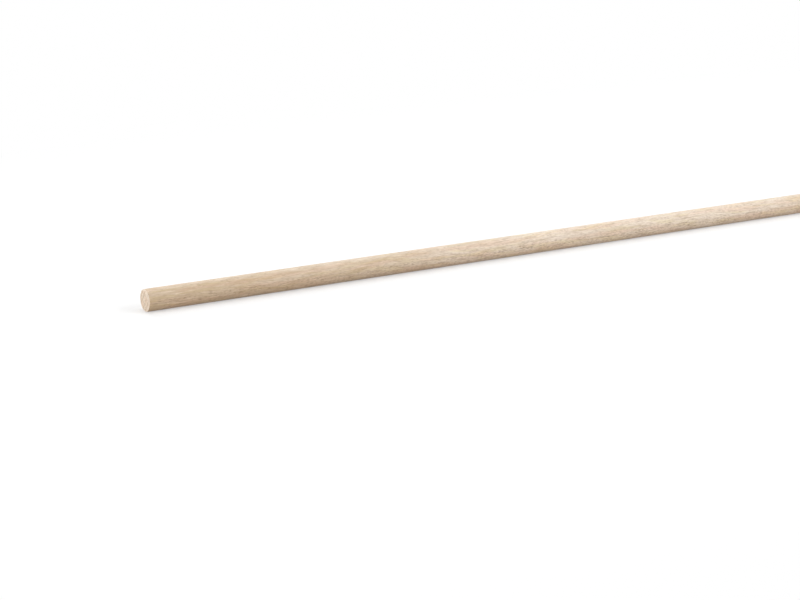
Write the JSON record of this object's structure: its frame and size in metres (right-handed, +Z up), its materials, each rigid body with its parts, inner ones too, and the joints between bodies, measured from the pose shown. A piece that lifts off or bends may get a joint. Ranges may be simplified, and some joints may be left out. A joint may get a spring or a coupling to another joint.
{
  "type": "wooden dowel rod",
  "caption": "Long straight round rod of plain beech, sawn square at both ends with softly eased rims, for pegs, axles, rails and glued joints.",
  "frame": {"origin": "on the rod's axis, midway between its two sawn faces", "axes": "+X along the rod's axis from the near end to the far end; +Z up as the rod lies; +Y across it"},
  "size_m": [1, 0.01, 0.01],
  "materials": {
    "beech": "planed, unfinished"
  },
  "bodies": {
    "root": {"dowel_rod": "beech"}
  },
  "joints": []
}
